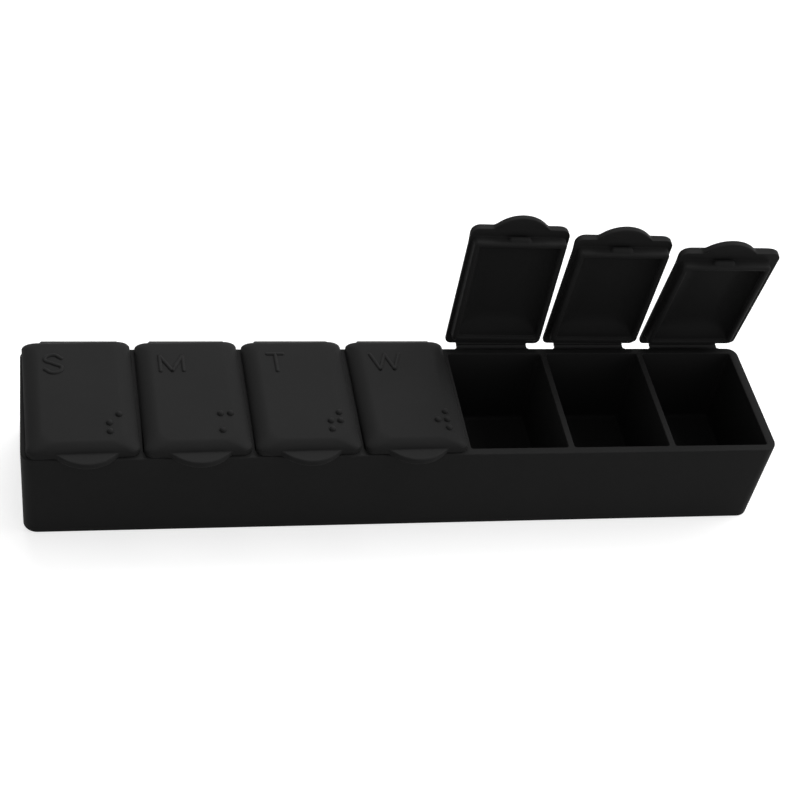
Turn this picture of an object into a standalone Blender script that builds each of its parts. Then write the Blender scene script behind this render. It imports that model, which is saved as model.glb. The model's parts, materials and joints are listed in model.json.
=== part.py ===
# Weekly pill organizer: a long tray of seven compartments, with a lid for each day on a thin
# moulded hinge along the rear rim. Four lids are shut and three stand open.
# +X runs along the row to the last day, +Y to the hinges and +Z up. The origin is the centre of the
# tray's underside. Lengths are in metres.

import math

import bmesh
import bpy
from mathutils import Vector

MM = 0.001

# Days, in the order of the row, and the lids that stand open
DAYS = ("sunday", "monday", "tuesday", "wednesday", "thursday", "friday", "saturday")
OPEN_ANGLE_DEG = {"thursday": 89.0, "friday": 84.0, "saturday": 78.0}

# Tray, outside
PITCH = 24.0 * MM               # from the middle of one compartment to the next
END_MARGIN = 1.0 * MM           # from the last pitch line to the end face, at the rim
TRAY_DEPTH = 34.6 * MM          # front face to rear face, at the rim
TRAY_HEIGHT = 22.7 * MM
TRAY_CORNER_RADIUS = 2.9 * MM   # upright corners
TRAY_FOOT_RADIUS = 0.4 * MM     # edge round the underside
END_DRAFT = 0.5 * MM            # how far each end face leans in at the foot
SIDE_DRAFT = 0.1 * MM           # the same for the front and rear faces

# Tray, inside
WALL = 1.9 * MM                 # outer wall at the rim
DIVIDER = 1.1 * MM              # wall between two compartments, at the rim
FLOOR = 1.6 * MM
POCKET_DRAFT = 0.25 * MM        # how far each pocket wall leans in at the floor
POCKET_CORNER_RADIUS = 0.8 * MM
POCKET_FLOOR_RADIUS = 0.7 * MM  # fillet that a fingertip slides a pill up
RIM_ROUND = 0.3 * MM            # edges of the rim and of the dividers

# Hinge
HINGE_OFFSET = 1.2 * MM         # axis behind the tray's rear face
SEAT_GAP = 0.3 * MM             # rim to a shut lid; the axis lies halfway
WEB_THICKNESS = 0.4 * MM
WEB_WIDTH = 17.0 * MM
WEB_BEND_RADIUS = 0.5 * MM      # middle of the web, about the axis
WEB_END_GAP = 0.3 * MM          # from each end of the web to the wall that it grows from

# Lid
LID_SETBACK = 0.7 * MM          # lid edge inside the tray's front and end faces
LID_SPACING = 1.2 * MM          # between two lids
LID_HINGE_GAP = 0.7 * MM        # lid's rear edge to the axis
LID_HEIGHT = 2.8 * MM           # landing face to the top
LID_CORNER_RADIUS = 2.5 * MM
LID_EDGE_RADIUS = 2.2 * MM      # soft edge round the top
LID_SKIN = 1.2 * MM             # top wall

# Plug frame under the lid, which enters the compartment
PLUG_HEIGHT = 2.4 * MM
PLUG_WALL = 1.1 * MM
PLUG_CLEARANCE = 0.35 * MM      # to the side and rear walls
PLUG_FRONT_CLEARANCE = 0.8 * MM
PLUG_DRAFT = 0.1 * MM
PLUG_CORNER_RADIUS = 1.3 * MM
PLUG_EDGE_RADIUS = 0.4 * MM
HOLLOW_CORNER_RADIUS = 0.5 * MM
HOLLOW_EDGE_RADIUS = 1.6 * MM

# Latch bar on the front of the plug frame
LATCH_LENGTH = 5.3 * MM
LATCH_RADIUS = 0.55 * MM
LATCH_PROUD = 0.5 * MM
LATCH_DROP = 1.2 * MM           # landing face down to the bar's middle

# Finger tab, a slice of a disc on the lid's front edge
TAB_WIDTH = 13.2 * MM
TAB_REACH = 3.3 * MM
TAB_THICKNESS = 1.3 * MM
TAB_EDGE_ROUND = 0.35 * MM

# Working values
CUT_OVERRUN = 1.0 * MM          # how far a cutter runs past the face that it opens
MERGE_DISTANCE = 0.0005 * MM
FILLET_LIMIT_SHARE = 0.9        # a fillet never takes more than this of its wall
LEVEL_SHARE = 0.02              # points this near an end, as a share of the height, lie on it

CORNER_STEPS = 6
EDGE_STEPS = 5
SMALL_STEPS = 3
RIM_STEPS = 2
DISC_STEPS = 72
LATCH_STEPS = 16
BEND_STEPS = 12                 # for a half turn of the web

SHARP_ANGLE_DEG = 32.0
PLASTIC_COLOR = (0.021, 0.021, 0.022, 1.0)
PLASTIC_ROUGHNESS = 0.42

# Sizes that follow
DAY_COUNT = len(DAYS)
TRAY_LENGTH = DAY_COUNT * PITCH + 2 * END_MARGIN
HINGE_Y = TRAY_DEPTH / 2 + HINGE_OFFSET
HINGE_Z = TRAY_HEIGHT + SEAT_GAP / 2
LANDING_Z = SEAT_GAP / 2        # landing face above the axis, in the lid's own frame


def pitch_line(number):
    return (number - DAY_COUNT / 2) * PITCH


def day_middle(number):
    return (pitch_line(number) + pitch_line(number + 1)) / 2


def between_sides(number, inner_inset, end_inset):
    """X of both sides of a day's space, inset from its pitch lines or from the tray's end face."""
    low = pitch_line(number) + inner_inset
    high = pitch_line(number + 1) - inner_inset
    if number == 0:
        low = -TRAY_LENGTH / 2 + end_inset
    if number == DAY_COUNT - 1:
        high = TRAY_LENGTH / 2 - end_inset
    return low, high


def shrink(span, low_inset, high_inset):
    return span[0] + low_inset, span[1] - high_inset


def bevel(form, edges, radius, steps):
    bmesh.ops.bevel(
        form,
        geom=edges,
        offset=radius,
        offset_type="OFFSET",
        segments=steps,
        profile=0.5,
        affect="EDGES",
        clamp_overlap=False,
    )


def moulded_block(x, y, z, rounded_end, corner_radius, edge_radius, edge_steps=SMALL_STEPS, draft=(0, 0)):
    """A block with round upright corners and a round edge at its top or foot, where draft draws it in."""
    form = bmesh.new()
    bmesh.ops.create_cube(form, size=1.0)
    low = Vector((x[0], y[0], z[0]))
    size = Vector((x[1], y[1], z[1])) - low
    end_z = z[1] if rounded_end == "top" else z[0]
    for vertex in form.verts:
        share = vertex.co + Vector((0.5, 0.5, 0.5))
        vertex.co = low + Vector(a * b for a, b in zip(share, size))
        if abs(vertex.co.z - end_z) < LEVEL_SHARE * size.z:
            vertex.co.x += draft[0] * (1 if share.x < 0.5 else -1)
            vertex.co.y += draft[1] * (1 if share.y < 0.5 else -1)

    upright = [e for e in form.edges if abs(e.verts[0].co.z - e.verts[1].co.z) > size.z / 2]
    bevel(form, upright, corner_radius, CORNER_STEPS)

    ends = [v for v in form.verts if abs(v.co.z - end_z) < LEVEL_SHARE * size.z]
    loop = [e for e in form.edges if e.verts[0] in ends and e.verts[1] in ends]
    bevel(form, loop, edge_radius, edge_steps)
    return form


def cylinder(radius, depth, steps, edge_radius, edge_steps):
    """A cylinder along Z about the origin, with both end edges rounded."""
    form = bmesh.new()
    bmesh.ops.create_cone(
        form, cap_ends=True, segments=steps, radius1=radius, radius2=radius, depth=depth
    )
    rims = [e for e in form.edges if abs(e.verts[0].co.z - e.verts[1].co.z) < LEVEL_SHARE * depth]
    bevel(form, rims, edge_radius, edge_steps)
    return form


def new_object(name, form, collection):
    mesh = bpy.data.meshes.new(name)
    bmesh.ops.recalc_face_normals(form, faces=form.faces)
    form.to_mesh(mesh)
    form.free()
    made = bpy.data.objects.new(name, mesh)
    collection.objects.link(made)
    return made


def combine(base, steps):
    """The bmesh that is left when each (operation, form) of steps has been done to base."""
    target = new_object("base", base, scratch)
    tools = [new_object("tool", form, scratch) for _, form in steps]
    for (operation, _), tool in zip(steps, tools):
        cut = target.modifiers.new(operation.lower(), "BOOLEAN")
        cut.operation = operation
        cut.solver = "EXACT"
        cut.object = tool
    bpy.context.view_layer.update()
    evaluated = target.evaluated_get(bpy.context.evaluated_depsgraph_get())
    result = bmesh.new()
    result.from_mesh(evaluated.to_mesh())
    evaluated.to_mesh_clear()
    for helper in [target, *tools]:
        mesh = helper.data
        bpy.data.objects.remove(helper)
        bpy.data.meshes.remove(mesh)
    bmesh.ops.remove_doubles(result, verts=result.verts, dist=MERGE_DISTANCE)
    return result


def plastic(name):
    material = bpy.data.materials.new(name)
    material.use_nodes = True
    shader = material.node_tree.nodes["Principled BSDF"]
    shader.inputs["Base Color"].default_value = PLASTIC_COLOR
    shader.inputs["Roughness"].default_value = PLASTIC_ROUGHNESS
    shader.inputs["Metallic"].default_value = 0.0
    return material


def finish(made):
    made.data.shade_smooth()
    made.data.set_sharp_from_angle(angle=math.radians(SHARP_ANGLE_DEG))
    made.data.materials.append(plastic(made.name))


def pocket(number):
    """The space of one compartment, from its floor to above the rim."""
    x = between_sides(number, DIVIDER / 2, WALL)
    y = shrink((-TRAY_DEPTH / 2, TRAY_DEPTH / 2), WALL, WALL)
    deep = TRAY_HEIGHT - FLOOR
    # The cutter flares on above the rim at the same draft.
    flare = POCKET_DRAFT * CUT_OVERRUN / deep
    return moulded_block(
        shrink(x, -flare, -flare),
        shrink(y, -flare, -flare),
        (FLOOR, TRAY_HEIGHT + CUT_OVERRUN),
        "foot",
        POCKET_CORNER_RADIUS,
        min(POCKET_FLOOR_RADIUS, POCKET_CORNER_RADIUS * FILLET_LIMIT_SHARE),
        draft=(POCKET_DRAFT + flare, POCKET_DRAFT + flare),
    )


def round_rim(form):
    """Rounds the edges where the flat top of the tray turns down into a wall."""
    edges = []
    for edge in form.edges:
        heights = [v.co.z for v in edge.verts]
        tilts = sorted(face.normal.z for face in edge.link_faces)
        on_rim = min(heights) > TRAY_HEIGHT - MERGE_DISTANCE
        if on_rim and len(tilts) == 2 and tilts[0] < 0.5 < tilts[1]:
            edges.append(edge)
    bevel(form, edges, min(RIM_ROUND, DIVIDER / 2 * FILLET_LIMIT_SHARE), RIM_STEPS)


def make_tray():
    block = moulded_block(
        (-TRAY_LENGTH / 2, TRAY_LENGTH / 2),
        (-TRAY_DEPTH / 2, TRAY_DEPTH / 2),
        (0, TRAY_HEIGHT),
        "foot",
        TRAY_CORNER_RADIUS,
        min(TRAY_FOOT_RADIUS, TRAY_CORNER_RADIUS * FILLET_LIMIT_SHARE),
        draft=(END_DRAFT, SIDE_DRAFT),
    )
    form = combine(block, [("DIFFERENCE", pocket(number)) for number in range(DAY_COUNT)])
    form.normal_update()
    round_rim(form)
    finish(new_object("tray", form, parts))


def lid_front_y():
    return -(HINGE_OFFSET + TRAY_DEPTH - LID_SETBACK)


def plug_span(number):
    """X and Y spans of the plug frame's outside, in the lid's own frame."""
    middle = day_middle(number)
    x = between_sides(number, DIVIDER / 2 + PLUG_CLEARANCE, WALL + PLUG_CLEARANCE)
    front = -(HINGE_OFFSET + TRAY_DEPTH) + WALL + PLUG_FRONT_CLEARANCE
    rear = -(HINGE_OFFSET + WALL + PLUG_CLEARANCE)
    return (x[0] - middle, x[1] - middle), (front, rear)


def lid_cap(number):
    middle = day_middle(number)
    x = between_sides(number, LID_SPACING / 2, LID_SETBACK)
    return moulded_block(
        (x[0] - middle, x[1] - middle),
        (lid_front_y(), -LID_HINGE_GAP),
        (LANDING_Z, LANDING_Z + LID_HEIGHT),
        "top",
        LID_CORNER_RADIUS,
        min(LID_EDGE_RADIUS, min(LID_CORNER_RADIUS, LID_HEIGHT) * FILLET_LIMIT_SHARE),
        edge_steps=EDGE_STEPS,
    )


def lid_plug(number):
    x, y = plug_span(number)
    return moulded_block(
        x,
        y,
        (LANDING_Z - PLUG_HEIGHT, LANDING_Z + LID_HEIGHT - LID_SKIN),
        "foot",
        PLUG_CORNER_RADIUS,
        min(PLUG_EDGE_RADIUS, PLUG_WALL / 2 * FILLET_LIMIT_SHARE),
        draft=(PLUG_DRAFT, PLUG_DRAFT),
    )


def lid_hollow(number):
    x, y = plug_span(number)
    inset = PLUG_WALL + PLUG_DRAFT
    return moulded_block(
        shrink(x, inset, inset),
        shrink(y, inset, inset),
        (LANDING_Z - PLUG_HEIGHT - CUT_OVERRUN, LANDING_Z + LID_HEIGHT - LID_SKIN),
        "top",
        HOLLOW_CORNER_RADIUS + HOLLOW_EDGE_RADIUS,
        HOLLOW_EDGE_RADIUS,
    )


def lid_tab():
    """The disc whose slice past the lid's front edge is the finger tab."""
    half = TAB_WIDTH / 2
    radius = (half * half + TAB_REACH * TAB_REACH) / (2 * TAB_REACH)
    edge_round = min(TAB_EDGE_ROUND, TAB_THICKNESS / 2 * FILLET_LIMIT_SHARE)
    form = cylinder(radius, TAB_THICKNESS, DISC_STEPS, edge_round, RIM_STEPS)
    place = Vector((0, lid_front_y() - TAB_REACH + radius, LANDING_Z + TAB_THICKNESS / 2))
    bmesh.ops.translate(form, verts=form.verts, vec=place)
    return form


def lid_latch(number):
    form = cylinder(LATCH_RADIUS, LATCH_LENGTH, LATCH_STEPS, LATCH_RADIUS / 2, SMALL_STEPS)
    front = plug_span(number)[1][0]
    for vertex in form.verts:
        along = vertex.co.z
        vertex.co.z = LANDING_Z - LATCH_DROP - vertex.co.x
        vertex.co.y += front + LATCH_RADIUS - LATCH_PROUD
        vertex.co.x = along
    return form


def make_lid(number, pivot):
    steps = [
        ("UNION", lid_plug(number)),
        ("UNION", lid_tab()),
        ("UNION", lid_latch(number)),
        ("DIFFERENCE", lid_hollow(number)),
    ]
    lid = new_object(f"lid_{DAYS[number]}", combine(lid_cap(number), steps), parts)
    lid.parent = pivot
    finish(lid)


def web_line(open_angle):
    """The web's middle line, seen along X: out from the tray, round the axis and in to the lid."""
    points = [(-HINGE_OFFSET + WEB_END_GAP, -WEB_BEND_RADIUS)]
    turn = math.pi - open_angle
    steps = max(2, round(BEND_STEPS * turn / math.pi))
    for step in range(steps + 1):
        angle = -math.pi / 2 + turn * step / steps
        points.append((WEB_BEND_RADIUS * math.cos(angle), WEB_BEND_RADIUS * math.sin(angle)))
    lid_leg = LID_HINGE_GAP - WEB_END_GAP
    y, z = points[-1]
    points.append((y - lid_leg * math.cos(open_angle), z + lid_leg * math.sin(open_angle)))
    return points


def make_web(number, hinge, open_angle):
    form = bmesh.new()
    line = [form.verts.new((-WEB_WIDTH / 2, y, z)) for y, z in web_line(open_angle)]
    edges = [form.edges.new(pair) for pair in zip(line, line[1:])]
    swept = bmesh.ops.extrude_edge_only(form, edges=edges)
    moved = [item for item in swept["geom"] if isinstance(item, bmesh.types.BMVert)]
    bmesh.ops.translate(form, verts=moved, vec=(WEB_WIDTH, 0, 0))
    web = new_object(f"hinge_web_{DAYS[number]}", form, parts)
    wall = web.modifiers.new("thickness", "SOLIDIFY")
    wall.thickness = WEB_THICKNESS
    wall.offset = 0
    wall.use_even_offset = True
    web.parent = hinge
    finish(web)


def make_day(number):
    """A lid and its web. The hinge empty stays level, and the pivot empty turns with the lid."""
    day = DAYS[number]
    open_angle = math.radians(OPEN_ANGLE_DEG.get(day, 0))
    hinge = bpy.data.objects.new(f"hinge_{day}", None)
    hinge.location = (day_middle(number), HINGE_Y, HINGE_Z)
    pivot = bpy.data.objects.new(f"pivot_{day}", None)
    pivot.parent = hinge
    pivot.rotation_euler.x = -open_angle
    parts.objects.link(hinge)
    parts.objects.link(pivot)
    make_lid(number, pivot)
    make_web(number, hinge, open_angle)


for old in list(bpy.data.objects):
    bpy.data.objects.remove(old)

parts = bpy.data.collections.new("weekly_pill_organizer")
scratch = bpy.data.collections.new("scratch")
bpy.context.scene.collection.children.link(parts)
bpy.context.scene.collection.children.link(scratch)

make_tray()
for day_number in range(DAY_COUNT):
    make_day(day_number)
bpy.data.collections.remove(scratch)
bpy.context.view_layer.update()
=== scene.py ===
import json
import math

import bmesh
import bpy
import numpy as np
from mathutils import Matrix, Vector


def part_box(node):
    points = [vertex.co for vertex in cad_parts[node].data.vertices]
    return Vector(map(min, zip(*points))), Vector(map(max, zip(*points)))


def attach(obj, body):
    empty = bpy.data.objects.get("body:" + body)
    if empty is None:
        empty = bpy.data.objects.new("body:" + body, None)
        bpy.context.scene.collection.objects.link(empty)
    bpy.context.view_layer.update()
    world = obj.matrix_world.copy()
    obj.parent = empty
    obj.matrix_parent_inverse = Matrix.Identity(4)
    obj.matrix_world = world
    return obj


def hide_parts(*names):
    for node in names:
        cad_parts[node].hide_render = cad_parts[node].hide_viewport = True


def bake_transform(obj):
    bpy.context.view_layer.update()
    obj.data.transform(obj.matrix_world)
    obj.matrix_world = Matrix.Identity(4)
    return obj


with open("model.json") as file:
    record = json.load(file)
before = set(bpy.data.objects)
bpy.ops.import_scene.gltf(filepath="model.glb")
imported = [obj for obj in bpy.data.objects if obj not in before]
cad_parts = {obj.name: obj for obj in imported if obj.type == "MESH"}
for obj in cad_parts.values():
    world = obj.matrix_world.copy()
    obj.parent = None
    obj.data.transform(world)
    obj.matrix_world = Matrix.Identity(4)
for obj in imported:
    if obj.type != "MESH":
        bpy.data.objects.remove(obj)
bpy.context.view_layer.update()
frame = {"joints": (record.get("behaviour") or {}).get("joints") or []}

mm = 0.001
days = ("sunday", "monday", "tuesday", "wednesday", "thursday", "friday", "saturday")

# What the frame says, in millimetres: the tray's box, and each lid's hinge and open angle
trayLow, trayHigh = (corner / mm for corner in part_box("tray"))
jointOf = {joint["child"]: joint for joint in frame["joints"]}
hinges = {day: Vector(jointOf[f"{day}_lid"]["pos_m"]) / mm for day in days}
openAngles = {day: -math.radians(jointOf[f"{day}_lid"]["range_deg"][0]) for day in days}
pitch = hinges["monday"].x - hinges["sunday"].x
rearFace = trayHigh.y - hinges["sunday"].y      # in a lid's own frame, whose origin is its hinge
frontFace = trayLow.y - hinges["sunday"].y


def mix(a, b, share):
    return a + (b - a) * share


def smooth(value, low, high):
    share = min(max((value - low) / (high - low), 0), 1)
    return share * share * (3 - 2 * share)


def softMax(value, floor, blendWidth):
    # The larger of two lengths, with their meeting rounded over blendWidth
    overlap = max(blendWidth - abs(value - floor), 0) / blendWidth
    return max(value, floor) + overlap * overlap * blendWidth / 4


def arc(steps, start=0, end=90):
    # Cosine and sine of each angle from start to end, in degrees
    angles = [math.radians(mix(start, end, step / steps)) for step in range(steps + 1)]
    return [(math.cos(angle), math.sin(angle)) for angle in angles]


# Rings and lofts

def ringAround(x, y, radius, z, counts):
    # A rounded rectangle, anticlockwise from the front side's left end. The radius is of the front corners
    # and of the rear ones.
    front, rear = radius
    corners = (
        (x[1] - front, y[0] + front, front, -90, counts["front"]),
        (x[1] - rear, y[1] - rear, rear, 0, counts["side"]),
        (x[0] + rear, y[1] - rear, rear, 90, counts["rear"]),
        (x[0] + front, y[0] + front, front, 180, counts["side"]),
    )
    arcs = []
    for centreX, centreY, size, start, _ in corners:
        turn = arc(counts["corner"], start, start + 90)
        arcs.append([Vector((centreX + size * c, centreY + size * s, z)) for c, s in turn])
    ring = []
    for number, corner in enumerate(corners):
        before = arcs[number - 1][-1]
        after = arcs[number][0]
        ring += [before.lerp(after, step / corner[4]) for step in range(1, corner[4])]
        ring += arcs[number]
    return ring


def inset(span, amount):
    return span[0] + amount, span[1] - amount


def mixRings(first, second, share):
    return [a.lerp(b, share) for a, b in zip(first, second)]


def addLoft(form, rings, closeStart=True, closeEnd=True):
    rows = [[form.verts.new(point) for point in ring] for ring in rings]
    count = len(rings[0])
    for row, following in zip(rows, rows[1:]):
        for here in range(count):
            after = (here + 1) % count
            form.faces.new((row[here], row[after], following[after], following[here]))
    if closeStart:
        form.faces.new(rows[0])
    if closeEnd:
        form.faces.new(reversed(rows[-1]))
    return rows


# How much a bend counts as an edge, how often that spreads to its neighbours, and the shortest step measured
edgeMark = {"strength": 0.45, "spreads": 2, "leastStep": 0.02}


def markEdges(mesh):
    # Stores how convex each point is, from 0 to 1, for the rubbed look of the edges
    count = len(mesh.vertices)
    places = np.empty(count * 3, np.float32)
    mesh.vertices.foreach_get("co", places)
    places = places.reshape(-1, 3)
    normals = np.empty(count * 3, np.float32)
    mesh.vertex_normals.foreach_get("vector", normals)
    normals = normals.reshape(-1, 3)
    ends = np.empty(len(mesh.edges) * 2, np.int32)
    mesh.edges.foreach_get("vertices", ends)
    ends = np.concatenate((ends.reshape(-1, 2), ends.reshape(-1, 2)[:, ::-1]))
    step = places[ends[:, 0]] - places[ends[:, 1]]
    length = np.maximum(np.linalg.norm(step, axis=1), edgeMark["leastStep"])
    bend = 2 * np.einsum("ij,ij->i", step, normals[ends[:, 0]]) / length ** 2
    total = np.zeros(count)
    near = np.zeros(count)
    np.add.at(near, ends[:, 0], 1)
    np.add.at(total, ends[:, 0], bend)
    convex = np.clip(total / np.maximum(near, 1) * edgeMark["strength"], 0, 1)
    for _ in range(edgeMark["spreads"]):
        spread = np.zeros(count)
        np.add.at(spread, ends[:, 0], convex[ends[:, 1]])
        convex = (convex + spread / np.maximum(near, 1)) / 2
    mesh.attributes.new("edge", "FLOAT", "POINT").data.foreach_set("value", convex.astype(np.float32))


def newPiece(name, form, place, material):
    # A smooth mesh in the frame's own place, with its object left at the origin
    mesh = bpy.data.meshes.new(name)
    bmesh.ops.recalc_face_normals(form, faces=form.faces)
    form.to_mesh(mesh)
    form.free()
    mesh.shade_smooth()
    markEdges(mesh)
    mesh.transform(place)
    mesh.materials.append(material)
    piece = bpy.data.objects.new(name, mesh)
    bpy.context.scene.collection.objects.link(piece)
    return piece


# Plastic. Sizes in its materials are in metres.

mouldGrain = {"coarseDetail": 2.0, "fineness": 3.0, "fineDetail": 3.0, "fineRoughness": 0.6}
toneDrift = {
    "detail": 3.0,
    # handling marks: their size as a share of a patch, and how they are cut out of their noise
    "markShare": 0.22, "markDetail": 5.0, "markRoughness": 0.65, "markLevel": 0.52, "markContrast": 4.0,
}
edgeRub = {"size": 0.0016, "detail": 4.0, "roughness": 0.65, "lift": -0.15, "contrast": 1.5}
finish = {
    "specular": 0.014,       # the black pigment leaves little shine
    "ior": 1.49,
    "bumpShare": 0.25,       # how deep the grain is, as a share of its size
    "rubbedPaleness": 2.2,   # how many times as pale as the light tone a rubbed edge is
    "handled": -0.05,        # what handling and rubbing do to the roughness
    "rubbed": -0.18,
}
plastics = {
    # dark and light are the ends of the tone's range, in linear colour
    "trayPlastic": {
        "dark": 0.0130, "light": 0.0160, "rough": 0.50, "grain": 0.00030, "bump": 0.16, "rub": 0.16,
    },
    "lidPlastic": {
        "dark": 0.0130, "light": 0.0160, "rough": 0.48, "grain": 0.00028, "bump": 0.14, "rub": 0.32,
    },
    # the straps' plastic is about twice as pale as the rest: painted light, standing in for the light their
    # shaded place by the lids doesn't get
    "hingePaintedLightPlastic": {
        "dark": 0.0290, "light": 0.0380, "rough": 0.48, "grain": 0.00022, "bump": 0.08, "rub": 0.45,
    },
    "markPlastic": {
        "dark": 0.0130, "light": 0.0160, "rough": 0.48, "grain": 0.00022, "bump": 0.08, "rub": 0.45,
    },
}


def newGroup(name, inputs, outputs):
    group = bpy.data.node_groups.new(name, "ShaderNodeTree")
    for socketName, kind, value in inputs:
        socket = group.interface.new_socket(name=socketName, in_out="INPUT", socket_type=kind)
        if value is not None:
            socket.default_value = value
    for socketName, kind in outputs:
        group.interface.new_socket(name=socketName, in_out="OUTPUT", socket_type=kind)
    return group, group.nodes.new("NodeGroupInput"), group.nodes.new("NodeGroupOutput")


def addMath(tree, operation, first, second=None, clamp=False):
    node = tree.nodes.new("ShaderNodeMath")
    node.operation = operation
    node.use_clamp = clamp
    for socket, value in zip(node.inputs, (first, second)):
        if isinstance(value, bpy.types.NodeSocket):
            tree.links.new(value, socket)
        elif value is not None:
            socket.default_value = value
    return node.outputs[0]


def addNoise(tree, vector, size, detail, roughness=0.5):
    # Noise whose features are about size metres across
    node = tree.nodes.new("ShaderNodeTexNoise")
    node.inputs["Detail"].default_value = detail
    node.inputs["Roughness"].default_value = roughness
    tree.links.new(vector, node.inputs["Vector"])
    if isinstance(size, bpy.types.NodeSocket):
        tree.links.new(addMath(tree, "DIVIDE", 1.0, size), node.inputs["Scale"])
    else:
        node.inputs["Scale"].default_value = 1 / size
    return node.outputs["Fac"]


def mouldGrainGroup():
    # The fine texture that a spark-eroded mould leaves: a coarse and a fine grain together
    group, start, end = newGroup(
        "mouldGrain",
        (("Vector", "NodeSocketVector", None), ("Grain Size", "NodeSocketFloat", 0.0003),
         ("Fine Share", "NodeSocketFloat", 0.4)),
        (("Height", "NodeSocketFloat"),),
    )
    place = start.outputs["Vector"]
    coarse = addNoise(group, place, start.outputs["Grain Size"], mouldGrain["coarseDetail"])
    fineSize = addMath(group, "DIVIDE", start.outputs["Grain Size"], mouldGrain["fineness"])
    fine = addNoise(group, place, fineSize, mouldGrain["fineDetail"], mouldGrain["fineRoughness"])
    weighted = addMath(group, "MULTIPLY", fine, start.outputs["Fine Share"])
    group.links.new(addMath(group, "ADD", coarse, weighted), end.inputs["Height"])
    return group


def toneDriftGroup():
    # Slow change of tone and gloss across a moulding, with faint handling marks
    group, start, end = newGroup(
        "toneDrift",
        (("Vector", "NodeSocketVector", None), ("Patch Size", "NodeSocketFloat", 0.02)),
        (("Drift", "NodeSocketFloat"), ("Marks", "NodeSocketFloat")),
    )
    place = start.outputs["Vector"]
    drift = addNoise(group, place, start.outputs["Patch Size"], toneDrift["detail"])
    group.links.new(drift, end.inputs["Drift"])
    small = addMath(group, "MULTIPLY", start.outputs["Patch Size"], toneDrift["markShare"])
    spots = addNoise(group, place, small, toneDrift["markDetail"], toneDrift["markRoughness"])
    above = addMath(group, "SUBTRACT", spots, toneDrift["markLevel"])
    cut = addMath(group, "MULTIPLY", above, toneDrift["markContrast"], clamp=True)
    group.links.new(cut, end.inputs["Marks"])
    return group


def edgeRubGroup():
    # Where hands have rubbed the edges: the stored convexity, broken up by noise
    group, start, end = newGroup(
        "edgeRub",
        (("Vector", "NodeSocketVector", None), ("Edge", "NodeSocketFloat", 0.0),
         ("Amount", "NodeSocketFloat", 0.5)),
        (("Rub", "NodeSocketFloat"),),
    )
    place = start.outputs["Vector"]
    broken = addNoise(group, place, edgeRub["size"], edgeRub["detail"], edgeRub["roughness"])
    raised = addMath(group, "ADD", broken, edgeRub["lift"])
    cut = addMath(group, "MULTIPLY", raised, edgeRub["contrast"], clamp=True)
    rubbed = addMath(group, "MULTIPLY", start.outputs["Edge"], cut, clamp=True)
    shown = addMath(group, "MULTIPLY", rubbed, start.outputs["Amount"], clamp=True)
    group.links.new(shown, end.inputs["Rub"])
    return group


groups = {"grain": mouldGrainGroup(), "tone": toneDriftGroup(), "rub": edgeRubGroup()}


def addColorMix(tree, factor):
    node = tree.nodes.new("ShaderNodeMix")
    node.data_type = "RGBA"
    tree.links.new(factor, node.inputs["Factor"])
    return node


def makePlastic(name):
    values = plastics[name]
    material = bpy.data.materials.new(name)
    material.use_nodes = True
    tree = material.node_tree
    shader = tree.nodes["Principled BSDF"]
    shader.inputs["Specular IOR Level"].default_value = finish["specular"]
    shader.inputs["IOR"].default_value = finish["ior"]
    place = tree.nodes.new("ShaderNodeTexCoord").outputs["Object"]

    def addGroup(key, **sizes):
        node = tree.nodes.new("ShaderNodeGroup")
        node.node_tree = groups[key]
        tree.links.new(place, node.inputs["Vector"])
        for socketName, value in sizes.items():
            node.inputs[socketName.replace("_", " ")].default_value = value
        return node

    grain = addGroup("grain", Grain_Size=values["grain"])
    tone = addGroup("tone")
    rub = addGroup("rub", Amount=values["rub"])
    convex = tree.nodes.new("ShaderNodeAttribute")
    convex.attribute_name = "edge"
    tree.links.new(convex.outputs["Fac"], rub.inputs["Edge"])

    body = addColorMix(tree, tone.outputs["Drift"])
    body.inputs["A"].default_value = (values["dark"], values["dark"], values["dark"], 1)
    body.inputs["B"].default_value = (values["light"], values["light"], values["light"], 1)
    worn = addColorMix(tree, rub.outputs["Rub"])
    pale = values["light"] * finish["rubbedPaleness"]
    tree.links.new(body.outputs["Result"], worn.inputs["A"])
    worn.inputs["B"].default_value = (pale, pale, pale, 1)
    tree.links.new(worn.outputs["Result"], shader.inputs["Base Color"])

    # Handled spots and rubbed edges are a little smoother than the grain
    handled = addMath(tree, "MULTIPLY", tone.outputs["Marks"], finish["handled"])
    rubbed = addMath(tree, "MULTIPLY", rub.outputs["Rub"], finish["rubbed"])
    rough = addMath(tree, "ADD", values["rough"], addMath(tree, "ADD", handled, rubbed))
    tree.links.new(rough, shader.inputs["Roughness"])

    bump = tree.nodes.new("ShaderNodeBump")
    bump.inputs["Strength"].default_value = values["bump"]
    bump.inputs["Distance"].default_value = values["grain"] * finish["bumpShare"]
    tree.links.new(grain.outputs["Height"], bump.inputs["Height"])
    tree.links.new(bump.outputs["Normal"], shader.inputs["Normal"])
    return material


materials = {name: makePlastic(name) for name in plastics}
print("plastics made:", ", ".join(materials))

# Tray

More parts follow.
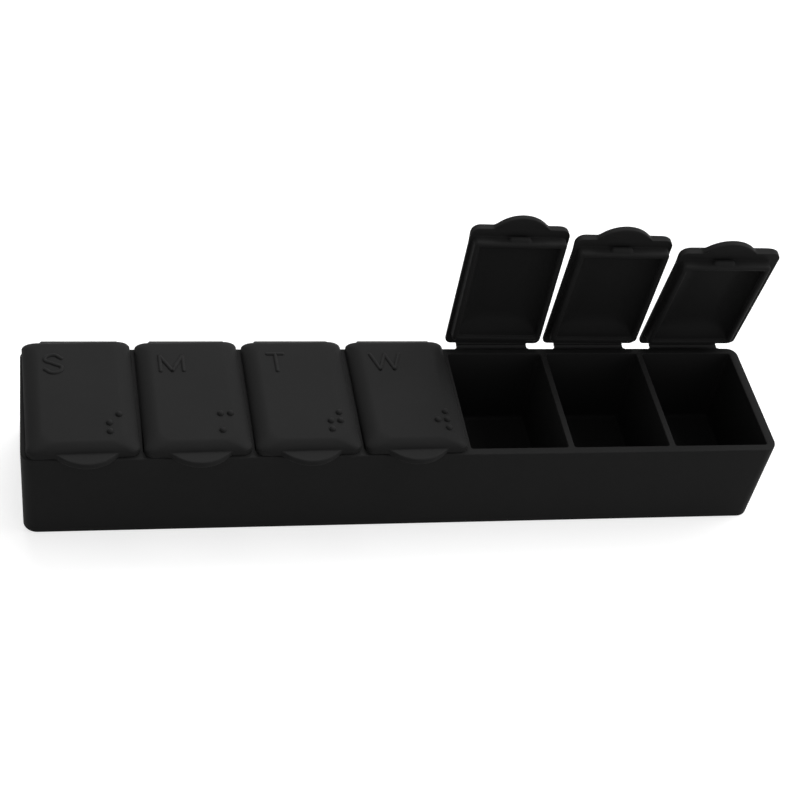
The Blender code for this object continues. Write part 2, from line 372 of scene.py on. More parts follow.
tray = {
    # radius of the front and rear corners, and the least that is left of it on an inset ring
    "corners": (3.1, 2.5), "leastCorner": 0.3,
    "foot": 0.35, "outerRound": 0.35, "endDraft": 0.5, "sideDraft": 0.1,
    "rightFlare": 0.25,      # how far the right end's rim stands further out
    "rightSoft": 7.0,        # how many times as wide its inner edge is rounded
    "wall": 1.9, "divider": 1.4, "floor": 1.6, "rimRound": 0.2, "floorFillet": 1.0,
    "pocketDraft": 0.25, "pocketCorner": 0.6, "leastPocketCorner": 0.15,
    # extra rings that keep flat faces flat, by their distance from the round that they stand beside
    "rimSupport": 0.05, "footSupport": 0.15, "wallSupport": 0.2, "pocketSupport": 0.15,
    "filletSupport": 0.3, "floorSupport": 2.5, "undersideInset": 2.4,
    "steps": {"foot": 8, "outerRound": 7, "rimRound": 6, "pocketWall": 6, "floorFillet": 7},
    "outerCounts": {"front": 40, "side": 12, "rear": 40, "corner": 10},
    "pocketCounts": {"front": 8, "side": 10, "rear": 8, "corner": 8},
}


def outerRings():
    height = trayHigh.z

    def ringAt(z, amount):
        lean = 1 - z / height
        x = inset((trayLow.x, trayHigh.x), tray["endDraft"] * lean + amount)
        x = x[0], x[1] + tray["rightFlare"] * (1 - lean)
        y = inset((trayLow.y, trayHigh.y), tray["sideDraft"] * lean + amount)
        radius = tuple(max(corner - amount, tray["leastCorner"]) for corner in tray["corners"])
        return ringAround(x, y, radius, z, tray["outerCounts"])

    foot = tray["foot"]
    edge = tray["outerRound"]
    beside = tray["wallSupport"]
    rings = [ringAt(0, tray["undersideInset"]), ringAt(0, foot + tray["footSupport"])]
    rings += [ringAt(foot * (1 - c), foot * (1 - s)) for c, s in arc(tray["steps"]["foot"])]
    rings += [ringAt(z, 0) for z in (foot + beside, height / 3, height * 2 / 3, height - edge - beside)]
    rings += [ringAt(height - edge * (1 - s), edge * (1 - c)) for c, s in arc(tray["steps"]["outerRound"])]
    rings.append(ringAt(height, edge + tray["rimSupport"]))
    return rings


def pocketRings(number):
    middle = hinges[days[number]].x
    low = middle - pitch / 2 + tray["divider"] / 2
    high = middle + pitch / 2 - tray["divider"] / 2
    if number == 0:
        low = trayLow.x + tray["wall"]
    if number == len(days) - 1:
        high = trayHigh.x - tray["wall"]
    height = trayHigh.z
    floor = tray["floor"]
    span = inset((trayLow.y, trayHigh.y), tray["wall"])

    def ringAt(z, amount):
        inward = tray["pocketDraft"] * (height - z) / (height - floor) + amount
        radius = max(tray["pocketCorner"] - amount, tray["leastPocketCorner"])
        x = inset((low, high), inward)
        if number == len(days) - 1:
            x = x[0], x[1] + max(-amount, 0) * (tray["rightSoft"] - 1)
        return ringAround(x, inset(span, inward), (radius, radius), z, tray["pocketCounts"])

    edge = tray["rimRound"]
    fillet = tray["floorFillet"]
    steps = tray["steps"]
    wallHigh = height - edge - tray["pocketSupport"]
    wallLow = floor + fillet + tray["filletSupport"]
    wallShares = [step / steps["pocketWall"] for step in range(steps["pocketWall"] + 1)]
    rings = [ringAt(height, -edge - tray["rimSupport"] / 2)]
    rings += [ringAt(height - edge * (1 - s), -edge * (1 - c)) for c, s in reversed(arc(steps["rimRound"]))]
    rings += [ringAt(mix(wallHigh, wallLow, share), 0) for share in wallShares]
    rings += [ringAt(floor + fillet * (1 - s), fillet * (1 - c)) for c, s in arc(steps["floorFillet"])]
    rings += [ringAt(floor, fillet + tray["filletSupport"]), ringAt(floor, fillet + tray["floorSupport"])]
    return rings


def makeTray():
    form = bmesh.new()
    loops = [addLoft(form, outerRings(), closeEnd=False)[-1]]
    loops += [addLoft(form, pocketRings(number), closeStart=False)[0] for number in range(len(days))]
    rim = []
    for loop in loops:
        rim += [form.edges.get(pair) for pair in zip(loop, loop[1:] + loop[:1])]
    bmesh.ops.triangle_fill(form, use_beauty=True, use_dissolve=False, edges=rim, normal=(0, 0, 1))
    piece = newPiece("tray_body", form, Matrix.Scale(mm, 4), materials["trayPlastic"])
    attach(piece, "tray")
    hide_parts("tray")


makeTray()
print("tray made")

# Lids. In a lid's own frame the hinge axis is at the origin, the front is towards -Y, and the lid is shut.

lid = {
    "spacing": 0.95, "setback": 0.5, "endSetback": (0.7, 0.3), "hingeGap": 0.5,
    "landing": -0.1, "top": 2.95, "crown": 0.1, "rearFall": 0.15, "lowerRound": 0.12,
    # corners at the wall, front and rear, and at the flat top, where they shrink on the rings further in
    "corners": (2.0, 1.4), "topCorner": 3.3, "topShrink": 0.6, "leastCorner": 0.35,
    # the soft edge's widths, and the power that presses its shoulder in
    "softSide": 3.6, "softFront": 2.4, "softRear": 2.4, "edgePower": 1.2,
    # the plain wall's height at the front and round the rest, and the share of the depth between the two
    "walls": (1.35, 0.55), "wallChange": 0.12,
    "topInsets": (6.6, 5.4, 4.2, 3.1, 2.1, 1.2, 0.4),     # rings on the flat top, from the middle out
    "wallShares": (0.33, 0.67),
    # each lid hangs a little off its hinge's middle: shift, and turn in degrees
    "settle": {
        "sunday": (-0.4, 1.5), "monday": (-0.35, 1.25), "tuesday": (-0.25, 0.9), "wednesday": (0.0, 0.5),
        "thursday": (0.0, 0.85), "friday": (-0.2, 0.45), "saturday": (0.0, -0.2),
    },
    "steps": {"softEdge": 14, "lowerRound": 4},
    "counts": {"front": 84, "side": 14, "rear": 16, "corner": 10},
}
plug = {
    "drop": 2.35, "wall": 1.3, "draft": 0.1, "corner": 0.9, "rootFillet": 0.3, "footRound": 0.55,
    "clearance": 0.5, "frontClearance": 0.8, "rearClearance": 0.15,
    "latchRoot": 0.12,       # the root's fillet behind the latch bar
    "latchFade": 1.2,        # how far beside the bar it grows to the full one
    "landingShares": (0.15, 0.85),
    # the hollow: the ceiling's skin, and the width and height of the curve from there down into the walls
    "skin": 1.2, "ceilingCurve": (4.8, 3.7), "ceilingInsets": (0.3, 1.2, 2.2, 3.3),
    "hollowShares": (0.2, 0.7),
    # its corners at the walls and at the ceiling, and how they shrink round the foot and on the ceiling
    "hollowCorner": 0.6, "ceilingCorner": 3.0, "footShrink": 0.1, "ceilingShrink": 0.75,
    "steps": {"root": 6, "wall": 16, "foot": 6, "ceiling": 16},
}
tab = {
    "width": 12.7, "reach": 3.2, "thickness": 1.5, "droop": 0.1, "joinRound": 1.1,
    "topRound": 0.4, "bottomRound": 0.3,
    "leastReach": 0.7,       # where the tab fades out, its outline keeps this reach
    "fadeReach": 0.8,        # and below this one it blends into the cap's own wall
    # fillet between the soft edge and the upper side: its height, and its run before and after the corner
    "fillet": 0.14, "filletRunShare": 0.67, "filletRun": 0.3, "filletShares": (0.2, 0.4, 0.6, 0.8, 1),
    "topShares": (0.3, 0.7),
    "landingReach": 0.9,     # where the underside meets the cap's landing
    "landingShares": (0.4, 1),
    "steps": {"topRound": 6, "bottomRound": 4},
    # how far each tab sits to the right of its day's middle
    "shift": {
        "sunday": 0.35, "monday": 0.35, "tuesday": 0.35, "wednesday": 0.05, "thursday": 0.05,
        "friday": -0.25, "saturday": 0.1,
    },
}
latch = {
    "length": 5.2, "radius": 0.72, "proud": 0.76, "height": -1.15, "joinRound": 0.08,
    # how far each bar sits to the right of its day's middle
    "shift": {
        "sunday": 0, "monday": 0, "tuesday": 0, "wednesday": 0, "thursday": -0.35, "friday": -0.7,
        "saturday": -0.95,
    },
}


def daySpan(day, betweenInset, endInsets):
    # X of both sides of a day's space, from the day's middle
    middle = hinges[day].x
    low = -pitch / 2 + betweenInset
    high = pitch / 2 - betweenInset
    if day == days[0]:
        low = trayLow.x - middle + endInsets[0]
    if day == days[-1]:
        high = trayHigh.x - middle - endInsets[1]
    return low, high


def capSpans(day):
    x = daySpan(day, lid["spacing"] / 2, lid["endSetback"])
    return x, (frontFace + lid["setback"], -lid["hingeGap"])


def topHeight(x, y, spans):
    # The lid's top falls away a little from its middle, and more towards the hinge
    shareX = 2 * (x - sum(spans[0]) / 2) / (spans[0][1] - spans[0][0])
    shareY = 2 * (y - sum(spans[1]) / 2) / (spans[1][1] - spans[1][0])
    fall = lid["crown"] * (shareX ** 4 + shareY ** 4) / 2
    return lid["top"] - fall - lid["rearFall"] * max(shareY, 0) ** 2


def tabReach(x, shift):
    # How far the tab stands out in front of the cap at x: a slice of a disc, with rounded inner corners
    half = tab["width"] / 2
    radius = (half * half + tab["reach"] ** 2) / (2 * tab["reach"])
    across = min(abs(x - shift), radius)
    out = math.sqrt(radius * radius - across * across) - (radius - tab["reach"])
    return softMax(out, 0, tab["joinRound"])


def wallTop(share):
    # Height where the soft edge meets the plain wall, from the lid's front at 0 to its rear at 1
    return lid["landing"] + mix(*lid["walls"], smooth(share, 0, lid["wallChange"]))


def softArc(steps, start, end):
    # The soft edge's curve: a quarter of an ellipse with its shoulder pressed in a little
    return [(max(c, 0) ** lid["edgePower"], s ** lid["edgePower"]) for c, s in arc(steps, start, end)]


def joinAngle():
    # Where the tab's upper side leaves the soft edge, in degrees from the flat top
    joinHeight = lid["landing"] - tab["droop"] + tab["thickness"] + tab["fillet"]
    share = (joinHeight - wallTop(0)) / (lid["top"] - wallTop(0))
    return math.degrees(math.acos(share ** (1 / lid["edgePower"])))


def tabSection(reach):
    # Outline of the tab at one x, from the soft edge down, out and back: (distance out, height)
    reach = max(reach, tab["leastReach"])
    bottom = lid["landing"] - tab["droop"]
    top = bottom + tab["thickness"]
    behind = lid["softFront"] * (1 - math.sin(math.radians(joinAngle())) ** lid["edgePower"])
    first = -behind, top + tab["fillet"]
    turn = first[0] + tab["fillet"] * tab["filletRunShare"], top
    last = turn[0] + tab["filletRun"], top
    edge = min(tab["topRound"], reach / 2)
    lower = min(tab["bottomRound"], reach / 2)
    foot = tab["landingReach"]
    points = []
    for share in tab["filletShares"]:
        here = [mix(mix(a, b, share), mix(b, c, share), share) for a, b, c in zip(first, turn, last)]
        points.append((here[0], here[1]))
    points += [(mix(last[0], reach - edge, share), top) for share in tab["topShares"]]
    points += [(reach - edge * (1 - s), top - edge * (1 - c)) for c, s in arc(tab["steps"]["topRound"])]
    points.append((reach, (top - edge + bottom + lower) / 2))
    points += [
        (reach - lower * (1 - c), bottom + lower * (1 - s))
        for c, s in arc(tab["steps"]["bottomRound"])
    ]
    points.append(((reach - lower + foot) / 2, bottom))
    points += [(mix(foot, -lid["lowerRound"], share), lid["landing"]) for share in tab["landingShares"]]
    return points


def wallLevels(count):
    # The cap's plain side over the same rings: the rest of the soft edge, the wall, and its lower edge.
    # Each level is a distance out, a share of the soft edge's width inwards, and shares of three heights:
    # the top, the wall's top and the landing. The last number is a height above the landing.
    edge = lid["lowerRound"]
    turns = arc(lid["steps"]["lowerRound"])
    soft = count - len(turns) - len(lid["wallShares"])
    levels = [(0, 1 - s, c, 1 - c, 0, 0) for c, s in softArc(soft, joinAngle(), 90)[1:]]
    levels += [(0, 0, 0, 1 - share, share, edge * share) for share in lid["wallShares"]]
    return levels + [(-edge * (1 - c), 0, 0, 0, 1, edge * (1 - s)) for c, s in turns]


def capRings(day):
    spans = capSpans(day)
    counts = lid["counts"]

    def ringAt(share, beyond=0.0):
        # Share runs over the soft edge, from 0 at the wall to 1 at the flat top, and beyond is past it
        x = inset(spans[0], lid["softSide"] * share + beyond)
        y = spans[1][0] + lid["softFront"] * share + beyond, spans[1][1] - lid["softRear"] * share - beyond
        shrink = beyond * lid["topShrink"]
        radii = [mix(corner, lid["topCorner"], share) - shrink for corner in lid["corners"]]
        return ringAround(x, y, [max(radius, lid["leastCorner"]) for radius in radii], 0, counts)

    def placeRing(ring, top, wall, foot, above):
        for point in ring:
            along = (point.y - spans[1][0]) / (spans[1][1] - spans[1][0])
            height = top * topHeight(point.x, point.y, spans) + wall * wallTop(along)
            point.z = height + foot * lid["landing"] + above
        return ring

    rings = [placeRing(ringAt(1, beyond), 1, 0, 0, 0) for beyond in lid["topInsets"]]
    for c, s in softArc(lid["steps"]["softEdge"], 0, joinAngle()):
        rings.append(placeRing(ringAt(1 - s), c, 1 - c, 0, 0))

    # The points along the front side follow the tab's outline where the tab stands out
    sections = {}
    edgeRing = ringAt(0)
    for index in range(counts["front"] - 1):
        reach = tabReach(edgeRing[index].x, tab["shift"][day])
        sections[index] = reach, tabSection(reach)
    levels = wallLevels(len(sections[0][1]))
    for level, (out, share, top, wall, foot, above) in enumerate(levels):
        ring = placeRing(ringAt(share, -out), top, wall, foot, above)
        for index, (reach, section) in sections.items():
            weight = smooth(reach, 0, tab["fadeReach"])
            ring[index].y = mix(ring[index].y, spans[1][0] - section[level][0], weight)
            ring[index].z = mix(ring[index].z, section[level][1], weight)
        rings.append(ring)
    return rings


def plugSpans(day):
    endGap = tray["wall"] + plug["clearance"]
    x = daySpan(day, tray["divider"] / 2 + plug["clearance"], (endGap, endGap))
    front = frontFace + tray["wall"] + plug["frontClearance"]
    return x, (front, rearFace - tray["wall"] - plug["rearClearance"])


def latchBump(x, z, shift):
    # How far the latch bar stands out of the plug's front at a point of it
    beyond = max(abs(x - shift) - (latch["length"] / 2 - latch["radius"]), 0)
    away = math.hypot(z - latch["height"], beyond)
    radius = latch["radius"]
    bar = math.sqrt(max(radius ** 2 - away ** 2, 0)) - (radius - latch["proud"])
    return softMax(bar, 0, latch["joinRound"])


def rootFlare(root, depth):
    # How far the fillet at the frame's root stands out at a depth below the landing
    short = max(root - depth, 0)
    return root - math.sqrt(root * root - short * short)


def plugWall(day, ringAt):
    # The frame's outer wall from its root down, with the latch bar on its front
    shift = latch["shift"][day]
    root = plug["rootFillet"]
    deep = plug["drop"] - plug["footRound"]
    steps = plug["steps"]
    depths = [root * (1 - s) for c, s in reversed(arc(steps["root"]))]
    depths += [mix(root, deep, step / steps["wall"]) for step in range(1, steps["wall"] + 1)]
    barEnd = latch["length"] / 2
    wall = []
    for depth in depths:
        out = rootFlare(root, depth)
        ring = ringAt(plug["draft"] * depth / deep - out, lid["landing"] - depth, plug["corner"] + out)
        for point in ring[:lid["counts"]["front"] - 1]:
            # The fillet shrinks round the latch bar, which keeps a groove behind it
            beside = smooth(abs(point.x - shift), barEnd, barEnd + plug["latchFade"])
            flare = rootFlare(mix(plug["latchRoot"], root, beside), depth)
            point.y += out - flare - latchBump(point.x, lid["landing"] - depth, shift)
        wall.append(ring)
    return wall


def plugRings(day, capFoot):
    spans = plugSpans(day)
    steps = plug["steps"]
    foot = lid["landing"] - plug["drop"]
    ceiling = lid["top"] - plug["skin"]

    def ringAt(amount, z, radius):
        x, y = (inset(span, amount) for span in spans)
        return ringAround(x, y, (radius, radius), z, lid["counts"])

    wall = plugWall(day, ringAt)
    rings = [mixRings(capFoot, wall[0], share) for share in plug["landingShares"]] + wall
    draft = plug["draft"]
    edge = plug["footRound"]
    inner = plug["wall"] + draft
    hollow = plug["hollowCorner"]
    top = plug["ceilingCorner"]
    wide, tall = plug["ceilingCurve"]
    for c, s in arc(steps["foot"])[1:]:
        rings.append(ringAt(draft + edge * (1 - c), foot + edge * (1 - s), plug["corner"]))
    for c, s in reversed(arc(steps["foot"])):
        rings.append(ringAt(inner - edge * (1 - c), foot + edge * (1 - s), hollow - plug["footShrink"] * c))
    for share in plug["hollowShares"]:
        rings.append(ringAt(inner, mix(foot + edge, ceiling - tall, share), hollow))
    for c, s in arc(steps["ceiling"]):
        rings.append(ringAt(inner + wide * (1 - c), ceiling - tall * (1 - s), mix(top, hollow, c)))
    for more in plug["ceilingInsets"]:
        rings.append(ringAt(inner + wide + more, ceiling, top - more * plug["ceilingShrink"]))
    return rings


def lidPlace(day):
    # From a shut lid's own frame in millimetres to its place in the frame
    shift, swing = lid["settle"][day]
    turn = Matrix.Rotation(-openAngles[day], 4, "X") @ Matrix.Rotation(math.radians(swing), 4, "Z")
    return Matrix.Scale(mm, 4) @ Matrix.Translation(hinges[day] + Vector((shift, 0, 0))) @ turn


def makeLid(day):
    cap = capRings(day)
    form = bmesh.new()
    addLoft(form, cap + plugRings(day, cap[-1]))
    piece = newPiece(f"{day}_lid_shell", form, lidPlace(day), materials["lidPlastic"])
    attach(piece, f"{day}_lid")
    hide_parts(f"lid_{day}")


for day in days:
    makeLid(day)
print("lids made:", len(days))

# Hinge straps, each bent to its lid's angle: thin at the tray and at the lid, with a thicker, bulging middle

strap = {
    "width": 17.1, "thin": 0.4, "bulge": 0.4, "bulgeRise": 0.7,
    "bend": 0.6,             # radius of the middle line's turn round the axis
    "sunk": 0.5,             # how far both ends reach into the tray and the lid
    # how the strap thickens and widens again where it meets them
    "flare": 0.7, "flareLength": 0.35, "sideFlare": 0.6, "sideFlareLength": 0.9,
    "roundShare": 0.46,      # a share of the turn's length
    "blendShare": 1.1,       # how far past the turn the bend is spread when the lid moves
    "steps": 44, "counts": {"front": 12, "side": 3, "rear": 12, "corner": 4},
}


def strapLine(angle):
    # Middle line of a strap, in millimetres from the axis: out of the tray, round the axis, into the lid
    bend = strap["bend"]
    turn = math.pi - angle
    legs = (-rearFace + strap["sunk"], turn * bend, lid["hingeGap"] + strap["sunk"])
    total = sum(legs)
    points = []
    for step in range(strap["steps"] + 1):
        along = total * step / strap["steps"]
        if along < legs[0]:
            place = Vector((0, along - legs[0], -bend))
            heading = 0
        else:
            heading = min((along - legs[0]) / bend, turn)
            place = Vector((0, bend * math.sin(heading), -bend * math.cos(heading)))
            past = max(along - legs[0] - legs[1], 0)
            place += Vector((0, math.cos(heading), math.sin(heading))) * past
        points.append((along, heading, place))
    return points, total


def strapFaces(free):
    # Where a strap's outer and inner faces lie from its middle line, by the distance to its nearer end
    flareEnd = strap["flareLength"]
    half = mix(strap["flare"], strap["thin"], smooth(free, 0, flareEnd)) / 2
    return -half, half + strap["bulge"] * smooth(free, flareEnd, flareEnd + strap["bulgeRise"])


def makeStrap(day):
    angle = openAngles[day]
    line, total = strapLine(angle)
    rings = []
    for along, heading, place in line:
        free = min(along - strap["sunk"], total - strap["sunk"] - along)
        faces = strapFaces(free)
        sideRound = (faces[1] - faces[0]) * strap["roundShare"]
        widening = max(1 - max(free, 0) / strap["sideFlareLength"], 0) ** 2
        half = strap["width"] / 2 + strap["sideFlare"] * widening
        flat = ringAround((-half, half), faces, (sideRound, sideRound), 0, strap["counts"])
        across = Vector((0, -math.sin(heading), math.cos(heading)))     # towards the inner face
        rings.append([place + Vector((point.x, 0, 0)) + across * point.y for point in flat])
    form = bmesh.new()
    addLoft(form, rings)
    toFrame = Matrix.Scale(mm, 4) @ Matrix.Translation(hinges[day])
    # The strap takes the paler plastic, whose tone is painted light
    piece = newPiece(f"{day}_hinge_strap", form, toFrame, materials["hingePaintedLightPlastic"])
    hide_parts(f"hinge_web_{day}")
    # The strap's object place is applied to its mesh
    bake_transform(piece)


for day in days:
    makeStrap(day)
print("hinge straps made:", len(days))

# Raised initials and braille cells on the lids' tops

marks = {
    "strokeWidth": 0.9, "strokeHeight": 0.38, "strokeSides": 24, "curveSteps": 14,
    "dotRadius": 0.75, "dotHeight": 0.68, "domeSegments": 28, "domeRings": 14,
    "dotColumns": (5.4, 7.55), "dotRows": (-25.4, -27.9, -30.45),
    # the initial, its box from the day's middle and the hinge axis, and its braille cell's dots
    "days": {
        "sunday": ("S", (-7.6, -3.75), (-12.1, -6.35), (2, 3, 4)),
        "monday": ("M", (-6.4, -1.3), (-11.6, -6.75), (1, 3, 4)),
        "tuesday": ("T", (-6.15, -2.65), (-11.75, -6.2), (2, 3, 4, 5)),
        "wednesday": ("W", (-6.7, 0.0), (-11.45, -6.45), (2, 4, 5, 6)),
        "thursday": ("T", (-6.15, -2.65), (-11.75, -6.2), (2, 3, 4, 5)),
        "friday": ("F", (-6.5, -3.4), (-11.75, -6.4), (1, 2, 4)),
        "saturday": ("S", (-7.6, -3.75), (-12.1, -6.35), (2, 3, 4)),
    },
    # each letter's strokes as shares of its box, from its lower left corner
    "strokeShares": {
        "S": (
            ((0.98, 0.80), (0.52, 1.0), (0.04, 0.76), (0.50, 0.51), (0.98, 0.25), (0.48, 0.0), (0.02, 0.20)),
        ),
        "M": (((0, 0), (0, 1)), ((0, 1), (0.5, 0)), ((0.5, 0), (1, 1)), ((1, 1), (1, 0))),
        "T": (((0, 1), (1, 1)), ((0.5, 1), (0.5, 0))),
        "W": (((0, 1), (0.25, 0)), ((0.25, 0), (0.5, 1)), ((0.5, 1), (0.75, 0)), ((0.75, 0), (1, 1))),
        "F": (((0, 0), (0, 1)), ((0, 1), (1, 1)), ((0, 0.52), (0.85, 0.52))),
    },
}


def newTree(name, sizes):
    # A Geometry Nodes tree with one geometry in and out, named sizes, and the material to set
    tree = bpy.data.node_groups.new(name, "GeometryNodeTree")
    tree.interface.new_socket(name="Geometry", in_out="INPUT", socket_type="NodeSocketGeometry")
    for socketName in sizes:
        tree.interface.new_socket(name=socketName, in_out="INPUT", socket_type="NodeSocketFloat")
    tree.interface.new_socket(name="Material", in_out="INPUT", socket_type="NodeSocketMaterial")
    tree.interface.new_socket(name="Geometry", in_out="OUTPUT", socket_type="NodeSocketGeometry")
    return tree, tree.nodes.new("NodeGroupInput"), tree.nodes.new("NodeGroupOutput")


def addDome(tree, radius, height):
    # A flattened ball whose upper half stands out of the lid
    ball = tree.nodes.new("GeometryNodeMeshUVSphere")
    ball.inputs["Segments"].default_value = marks["domeSegments"]
    ball.inputs["Rings"].default_value = marks["domeRings"]
    ball.inputs["Radius"].default_value = 1.0
    size = tree.nodes.new("ShaderNodeCombineXYZ")
    tree.links.new(radius, size.inputs["X"])
    tree.links.new(radius, size.inputs["Y"])
    tree.links.new(height, size.inputs["Z"])
    shaped = tree.nodes.new("GeometryNodeTransform")
    tree.links.new(ball.outputs["Mesh"], shaped.inputs["Geometry"])
    tree.links.new(size.outputs["Vector"], shaped.inputs["Scale"])
    return shaped.outputs["Geometry"]


def finishTree(tree, shapes, start, end):
    joined = tree.nodes.new("GeometryNodeJoinGeometry")
    for shape in shapes:
        tree.links.new(shape, joined.inputs["Geometry"])
    real = tree.nodes.new("GeometryNodeRealizeInstances")
    tree.links.new(joined.outputs["Geometry"], real.inputs["Geometry"])
    shaded = tree.nodes.new("GeometryNodeSetShadeSmooth")
    tree.links.new(real.outputs["Geometry"], shaded.inputs["Geometry"])
    painted = tree.nodes.new("GeometryNodeSetMaterial")
    tree.links.new(shaded.outputs["Geometry"], painted.inputs["Geometry"])
    tree.links.new(start.outputs["Material"], painted.inputs["Material"])
    tree.links.new(painted.outputs["Geometry"], end.inputs["Geometry"])


def raisedStrokeTree():
    # A flat oval swept along each stroke, with a dome at both ends
    tree, start, end = newTree("raisedStrokes", ("Half Width", "Height"))
    circle = tree.nodes.new("GeometryNodeCurvePrimitiveCircle")
    circle.inputs["Resolution"].default_value = marks["strokeSides"]
    circle.inputs["Radius"].default_value = 1.0
    size = tree.nodes.new("ShaderNodeCombineXYZ")
    tree.links.new(start.outputs["Half Width"], size.inputs["X"])
    tree.links.new(start.outputs["Height"], size.inputs["Y"])
    size.inputs["Z"].default_value = 1.0
    profile = tree.nodes.new("GeometryNodeTransform")
    tree.links.new(circle.outputs["Curve"], profile.inputs["Geometry"])
    tree.links.new(size.outputs["Vector"], profile.inputs["Scale"])
    level = tree.nodes.new("GeometryNodeSetCurveNormal")
    level.mode = "Z_UP"
    tree.links.new(start.outputs["Geometry"], level.inputs["Curve"])
    swept = tree.nodes.new("GeometryNodeCurveToMesh")
    tree.links.new(level.outputs["Curve"], swept.inputs["Curve"])
    tree.links.new(profile.outputs["Geometry"], swept.inputs["Profile Curve"])
    swept.inputs["Fill Caps"].default_value = True
    ends = tree.nodes.new("GeometryNodeCurveEndpointSelection")
    domes = tree.nodes.new("GeometryNodeInstanceOnPoints")
    tree.links.new(start.outputs["Geometry"], domes.inputs["Points"])
    tree.links.new(ends.outputs["Selection"], domes.inputs["Selection"])
    dome = addDome(tree, start.outputs["Half Width"], start.outputs["Height"])
    tree.links.new(dome, domes.inputs["Instance"])
    finishTree(tree, (swept.outputs["Mesh"], domes.outputs["Instances"]), start, end)
    return tree


def brailleTree():
    tree, start, end = newTree("brailleDots", ("Dot Radius", "Height"))
    dots = tree.nodes.new("GeometryNodeInstanceOnPoints")
    tree.links.new(start.outputs["Geometry"], dots.inputs["Points"])
    dome = addDome(tree, start.outputs["Dot Radius"], start.outputs["Height"])
    tree.links.new(dome, dots.inputs["Instance"])
    finishTree(tree, (dots.outputs["Instances"],), start, end)
    return tree


def grow(data, tree, values):
    # Runs a tree on a curve or a mesh of points, and returns the plain mesh that it makes
    source = bpy.data.objects.new("source", data)
    bpy.context.scene.collection.objects.link(source)
    modifier = source.modifiers.new("shape", "NODES")
    modifier.node_group = tree
    for item in tree.interface.items_tree:
        if item.in_out == "INPUT" and item.name in values:
            modifier[item.identifier] = values[item.name]
    bpy.context.view_layer.update()
    depsgraph = bpy.context.evaluated_depsgraph_get()
    mesh = bpy.data.meshes.new_from_object(source.evaluated_get(depsgraph))
    bpy.data.objects.remove(source)
    return mesh


def letterCurve(day, spans):
    letter, x, y, _ = marks["days"][day]
    data = bpy.data.curves.new("letter", "CURVE")
    data.dimensions = "3D"
    data.resolution_u = marks["curveSteps"]
    for stroke in marks["strokeShares"][letter]:
        places = [(mix(x[0], x[1], u), mix(y[0], y[1], v)) for u, v in stroke]
        spline = data.splines.new("BEZIER")
        spline.bezier_points.add(len(places) - 1)
        for point, (px, py) in zip(spline.bezier_points, places):
            point.co = (px, py, topHeight(px, py, spans))
            kind = "AUTO" if len(places) > 2 else "VECTOR"
            point.handle_left_type = kind
            point.handle_right_type = kind
    return data


def cellPoints(day, spans):
    # Dots 1 to 3 run down the left column and 4 to 6 down the right one
    data = bpy.data.meshes.new("cell")
    places = []
    for number in marks["days"][day][3]:
        px = marks["dotColumns"][(number - 1) // 3]
        py = marks["dotRows"][(number - 1) % 3]
        places.append((px, py, topHeight(px, py, spans)))
    data.from_pydata(places, [], [])
    return data


strokeTree = raisedStrokeTree()
dotTree = brailleTree()


def makeLettering(day):
    spans = capSpans(day)
    plastic = materials["markPlastic"]
    strokes = grow(letterCurve(day, spans), strokeTree, {
        "Half Width": marks["strokeWidth"] / 2, "Height": marks["strokeHeight"], "Material": plastic,
    })
    dots = grow(cellPoints(day, spans), dotTree, {
        "Dot Radius": marks["dotRadius"], "Height": marks["dotHeight"], "Material": plastic,
    })
    form = bmesh.new()
    form.from_mesh(strokes)
    form.from_mesh(dots)
    piece = newPiece(f"{day}_lettering", form, lidPlace(day), plastic)
    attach(piece, f"{day}_lid")


for day in days:
    makeLettering(day)
print("lettering made:", len(days))

# Stage, in metres: a pale floor, soft light from above and behind, and the photograph's camera

stage = {
    "floorSize": 6.0, "floorParts": 8, "floorColor": 0.5, "floorRough": 0.9,
    "floorGlow": 0.64,       # seen by the camera and in reflections alone, like the white of the world
    "worldLight": 0.47,
    # each softbox: its two sides, its place and its power
    "softboxes": {
        "overhead": ((1.0, 1.0), (1.00, 0.22, 1.00), 16.5),
        "behind": ((0.9, 0.9), (0.10, 0.85, 1.05), 11.8),
        "front": ((0.9, 0.3), (0.60, -1.0, 0.20), 1.5),
    },
}
photoCamera = {
    "place": (-0.08228, -0.27062, 0.28838),
    "turn": (2.33520, -0.11322, 0.24344),     # axis times angle, from the frame to right, down and forward
    "lens": 77.16, "sensor": 36.0, "nearest": 0.01,
}


def seenRays(tree):
    # 1 for the rays that show the background: from the camera, and off or through glossy pieces
    paths = tree.nodes.new("ShaderNodeLightPath").outputs
    seen = addMath(tree, "MAXIMUM", paths["Is Camera Ray"], paths["Is Glossy Ray"])
    return addMath(tree, "MAXIMUM", seen, paths["Is Transmission Ray"])


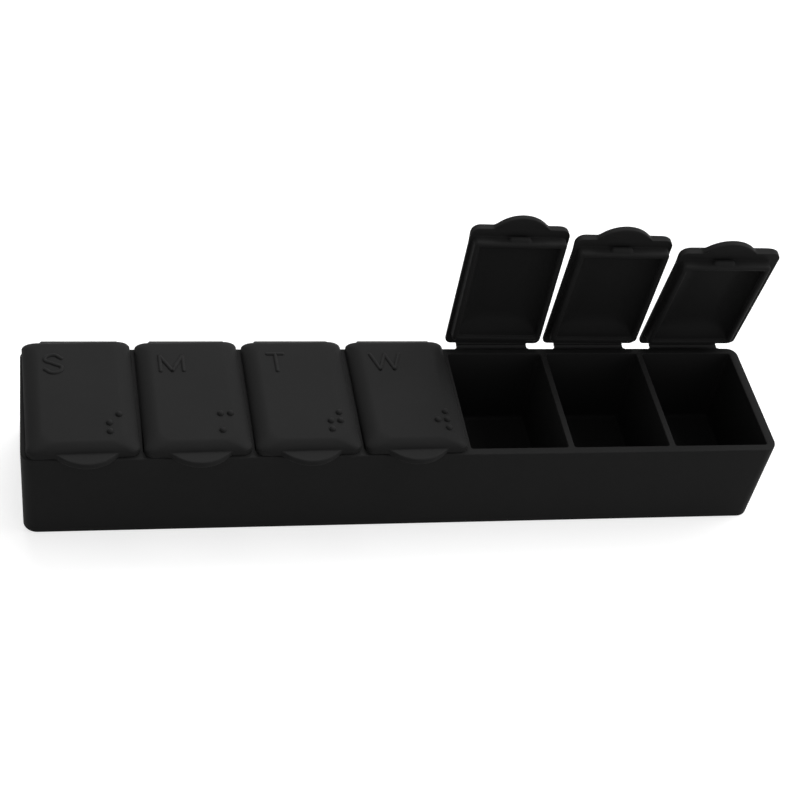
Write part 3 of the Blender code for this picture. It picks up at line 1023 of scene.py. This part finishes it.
def makeFloor():
    parts = stage["floorParts"]
    form = bmesh.new()
    bmesh.ops.create_grid(form, x_segments=parts, y_segments=parts, size=stage["floorSize"] / 2)
    mesh = bpy.data.meshes.new("floor")
    form.to_mesh(mesh)
    form.free()
    floor = bpy.data.objects.new("floor", mesh)
    bpy.context.scene.collection.objects.link(floor)
    material = bpy.data.materials.new("paleFloor")
    material.use_nodes = True
    tree = material.node_tree
    shader = tree.nodes["Principled BSDF"]
    shade = stage["floorColor"]
    shader.inputs["Base Color"].default_value = (shade, shade, shade, 1)
    shader.inputs["Roughness"].default_value = stage["floorRough"]
    shader.inputs["Specular IOR Level"].default_value = 0.0
    shader.inputs["Emission Color"].default_value = (1, 1, 1, 1)
    glow = addMath(tree, "MULTIPLY", seenRays(tree), stage["floorGlow"])
    tree.links.new(glow, shader.inputs["Emission Strength"])
    mesh.materials.append(material)


def makeWorld():
    world = bpy.data.worlds.new("studio")
    bpy.context.scene.world = world
    world.use_nodes = True
    tree = world.node_tree
    background = tree.nodes["Background"]
    background.inputs["Color"].default_value = (1, 1, 1, 1)
    seen = addMath(tree, "MULTIPLY", seenRays(tree), 1 - stage["worldLight"])
    tree.links.new(addMath(tree, "ADD", seen, stage["worldLight"]), background.inputs["Strength"])


def makeLight(name, size, place, power):
    light = bpy.data.lights.new(name, "AREA")
    light.shape = "RECTANGLE"
    light.size, light.size_y = size
    light.energy = power
    lamp = bpy.data.objects.new(name, light)
    lamp.location = place
    lamp.rotation_euler = (-Vector(place)).to_track_quat("-Z", "Y").to_euler()
    bpy.context.scene.collection.objects.link(lamp)


def makeCamera():
    data = bpy.data.cameras.new("photoCamera")
    data.lens = photoCamera["lens"]
    data.sensor_width = photoCamera["sensor"]
    data.clip_start = photoCamera["nearest"]
    camera = bpy.data.objects.new("photoCamera", data)
    turn = Vector(photoCamera["turn"])
    right, down, forward = Matrix.Rotation(turn.length, 3, turn.normalized())
    axes = Matrix((right, -down, -forward)).transposed()
    camera.matrix_world = Matrix.Translation(photoCamera["place"]) @ axes.to_4x4()
    bpy.context.scene.collection.objects.link(camera)
    bpy.context.scene.camera = camera


makeFloor()
makeWorld()
for name, (size, place, power) in stage["softboxes"].items():
    makeLight(f"{name}Softbox", size, place, power)
makeCamera()
bpy.context.scene.view_settings.view_transform = "Standard"
print("stage made")
